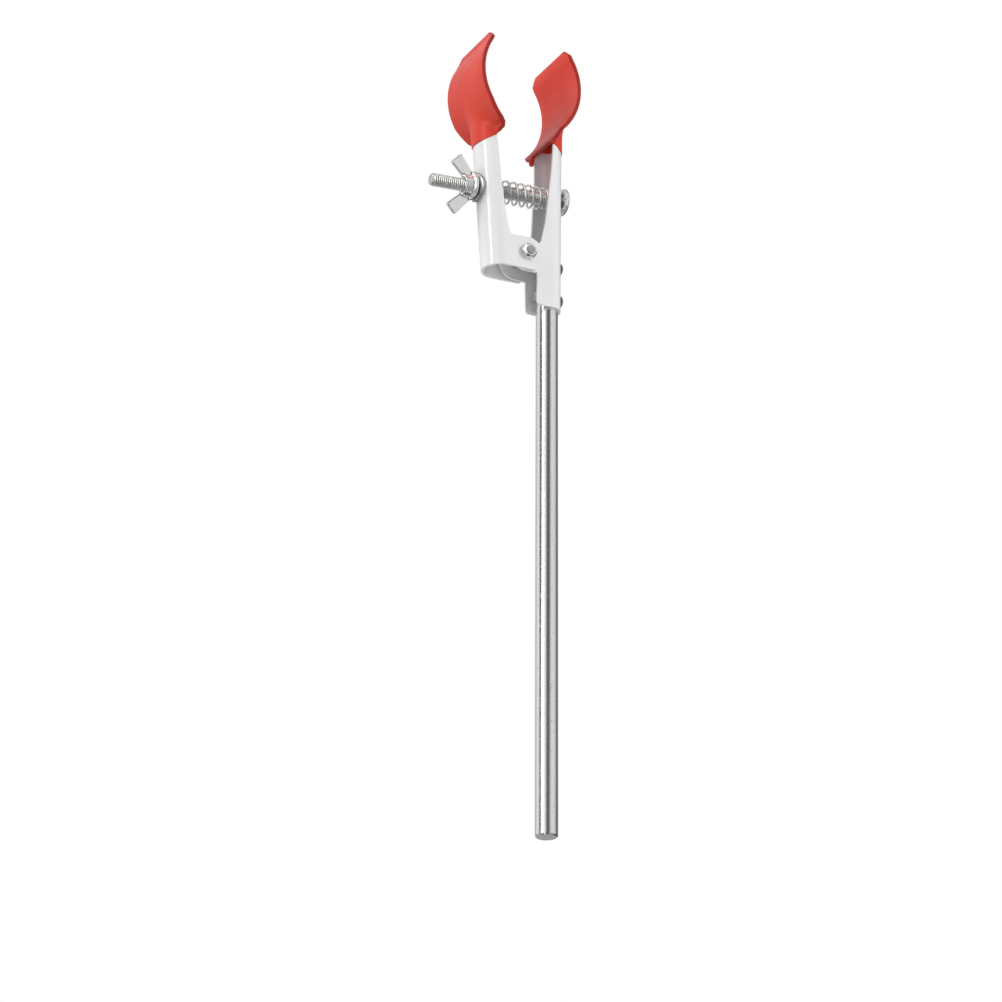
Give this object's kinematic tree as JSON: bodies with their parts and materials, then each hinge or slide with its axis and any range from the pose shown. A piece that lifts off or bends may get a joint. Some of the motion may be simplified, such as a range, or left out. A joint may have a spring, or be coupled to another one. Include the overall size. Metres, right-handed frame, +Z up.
{
  "type": "laboratory clamp",
  "caption": "Rod-mounted laboratory clamp with curved soft-covered jaws, set by a wing nut on a sprung clamp bolt.",
  "frame": {"origin": "on the support rod's axis, where the rod leaves the head", "axes": "+Z up the rod towards the jaws, +X from the moving arm towards the fixed arm, Y along the pivot"},
  "size_m": [0.0687, 0.036, 0.3733],
  "materials": {
    "bright_rod": "bright plated steel bar with fine drawing lines",
    "coated_steel": "white powder coat, satin",
    "red_cover": "dipped red vinyl, semi-gloss",
    "plated_hardware": "bright zinc plating",
    "spring_steel": "drawn spring wire, bright"
  },
  "bodies": {
    "head": {"support_rod": "bright_rod", "fixed_arm": "coated_steel", "fixed_jaw_boot": "red_cover", "rod_rivets": "plated_hardware", "pivot_screw": "plated_hardware", "pivot_nut": "plated_hardware"},
    "moving_jaw": {"moving_arm": "coated_steel", "moving_jaw_boot": "red_cover"},
    "bolt": {"clamp_bolt": "plated_hardware", "spring": "spring_steel"},
    "washer": {"saddle_washer": "plated_hardware"},
    "nut": {"wing_nut": "plated_hardware"}
  },
  "joints": [
    {"name": "arm_pivot", "type": "hinge", "parent": "head", "child": "moving_jaw", "pos_m": [-0.0137, 0, 0.0234], "axis": [0, 1, 0], "range_deg": [-16, 19], "deforming": ["spring"]},
    {"name": "bolt_swivel", "type": "hinge", "parent": "head", "child": "bolt", "pos_m": [0.0068, 0, 0.057], "axis": [0, 1, 0], "range_deg": [-8, 9.5]},
    {"name": "washer_travel", "type": "slide", "parent": "bolt", "child": "washer", "axis": [0.9981, 0, 0.061], "range_m": [-0.0095, 0.0112]},
    {"name": "wing_nut_spin", "type": "hinge", "parent": "washer", "child": "nut", "pos_m": [0.0068, 0, 0.057], "axis": [0.9981, 0, 0.061], "range_deg": [-3300, 3900]}
  ],
  "couplings": [
    {"joint": "bolt_swivel", "follows": "arm_pivot", "ratio": 0.4549},
    {"joint": "washer_travel", "follows": "arm_pivot", "m_per_rad": 0.032286},
    {"joint": "wing_nut_spin", "follows": "arm_pivot", "ratio": 202.86}
  ]
}
